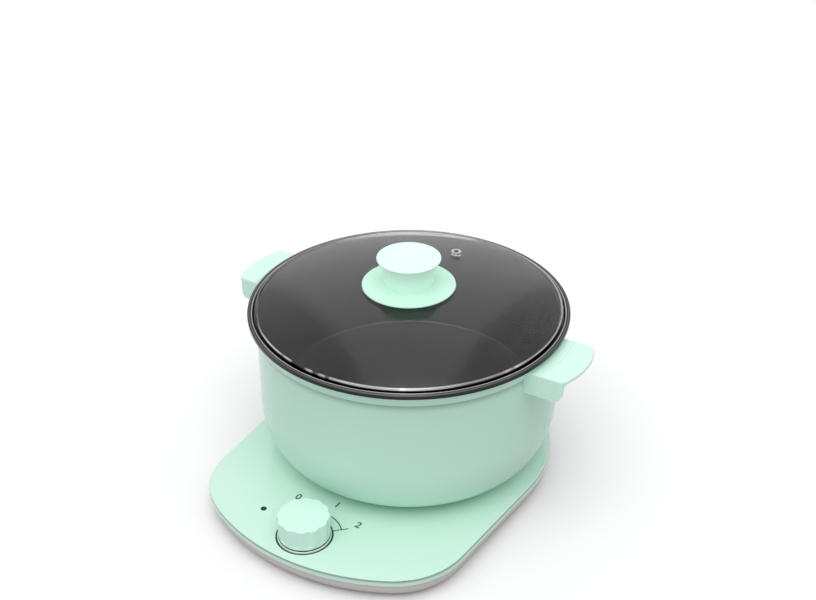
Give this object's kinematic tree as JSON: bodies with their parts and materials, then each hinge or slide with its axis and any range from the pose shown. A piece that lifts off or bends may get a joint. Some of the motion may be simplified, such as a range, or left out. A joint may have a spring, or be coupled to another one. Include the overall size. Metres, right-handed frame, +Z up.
{
  "type": "electric hot pot",
  "caption": "Electric hot pot: a flat cordless base with a knob and a central connector, a deep two-handled pot that lifts off, and a domed glass lid with a knob.",
  "frame": {"origin": "middle of the bounding box's bottom face, on the table; the connector's axis is 26 mm behind it", "axes": "+Z up, -Y towards the control knob at the front, +X to the right seen from the front, through the right handle"},
  "size_m": [0.3148, 0.312, 0.1969],
  "materials": {
    "mint_plastic": "smooth glossy moulded plastic, pale mint green",
    "grip_plastic": "pale mint moulded plastic, satin",
    "lid_plastic": "pale translucent mint plastic",
    "tray_plastic": "fine matt pinkish grey moulded plastic",
    "foot_rubber": "soft dark rubber",
    "screw_steel": "zinc-plated steel",
    "connector_plastic": "glossy black heat-proof plastic",
    "contact_brass": "bright brass",
    "nonstick_coating": "dark non-stick coating on aluminium",
    "heater_aluminium": "raw aluminium",
    "heater_steel": "dull steel sheath",
    "seal_silicone": "soft grey silicone",
    "lid_glass": "clear tempered glass",
    "band_steel": "polished stainless steel strip",
    "board_laminate": "green circuit board",
    "lens_plastic": "dark tinted lens",
    "inner_plastic": "dark matt phenolic plastic"
  },
  "bodies": {
    "base": {"base_top_cover": "mint_plastic", "base_tray": "tray_plastic", "base_feet": "foot_rubber", "base_screws": "screw_steel", "cord_gland": "foot_rubber", "cord_clamp": "inner_plastic", "clamp_screws": "screw_steel", "terminal_block": "inner_plastic", "terminal_screws": "screw_steel", "trim_ring": "mint_plastic", "connector_tower": "connector_plastic", "outer_contact": "contact_brass", "inner_contact": "contact_brass", "earth_contact": "contact_brass", "connector_screws": "screw_steel", "knob_bezel": "mint_plastic", "regulator_body": "inner_plastic", "regulator_nut": "screw_steel", "indicator_lens": "lens_plastic", "indicator_led": "lens_plastic", "control_board": "board_laminate", "board_screws": "screw_steel", "heat_sink": "heater_aluminium"},
    "knob": {"control_knob": "grip_plastic", "regulator_shaft": "screw_steel", "knob_clip": "screw_steel"},
    "pot": {"outer_housing": "mint_plastic", "rim_gasket": "seal_silicone", "inner_pot": "nonstick_coating", "bottom_cover": "mint_plastic", "bottom_cover_screws": "screw_steel", "pot_pads": "seal_silicone", "connector_socket": "connector_plastic", "neutral_sleeve": "contact_brass", "live_sleeve": "contact_brass", "earth_pin": "contact_brass", "socket_screws": "screw_steel", "heat_plate": "heater_aluminium", "heating_element": "heater_steel", "heat_shield": "heater_steel", "plate_studs": "screw_steel", "stud_nuts": "screw_steel", "shield_nuts": "screw_steel", "thermostat": "inner_plastic", "thermostat_screws": "screw_steel", "thermal_fuse": "contact_brass", "fuse_strap_clip": "heater_steel", "handle_right": "grip_plastic", "handle_left": "grip_plastic", "handle_screws": "screw_steel"},
    "lid": {"glass_lid": "lid_glass", "lid_band": "band_steel", "lid_knob_disc": "lid_plastic", "lid_knob": "lid_plastic", "lid_screw": "screw_steel", "lid_washer": "seal_silicone", "vent_eyelet": "band_steel"}
  },
  "joints": [
    {"name": "pot_lift", "type": "slide", "parent": "base", "child": "pot", "axis": [0, 0, 1], "range_m": [0, 0.1133]},
    {"name": "lid_lift", "type": "slide", "parent": "pot", "child": "lid", "axis": [0, 0, 1], "range_m": [0, 0.0779]},
    {"name": "knob_turn", "type": "hinge", "parent": "base", "child": "knob", "pos_m": [0, -0.127, 0.03], "axis": [0, 0, -1], "range_deg": [0, 90]}
  ]
}
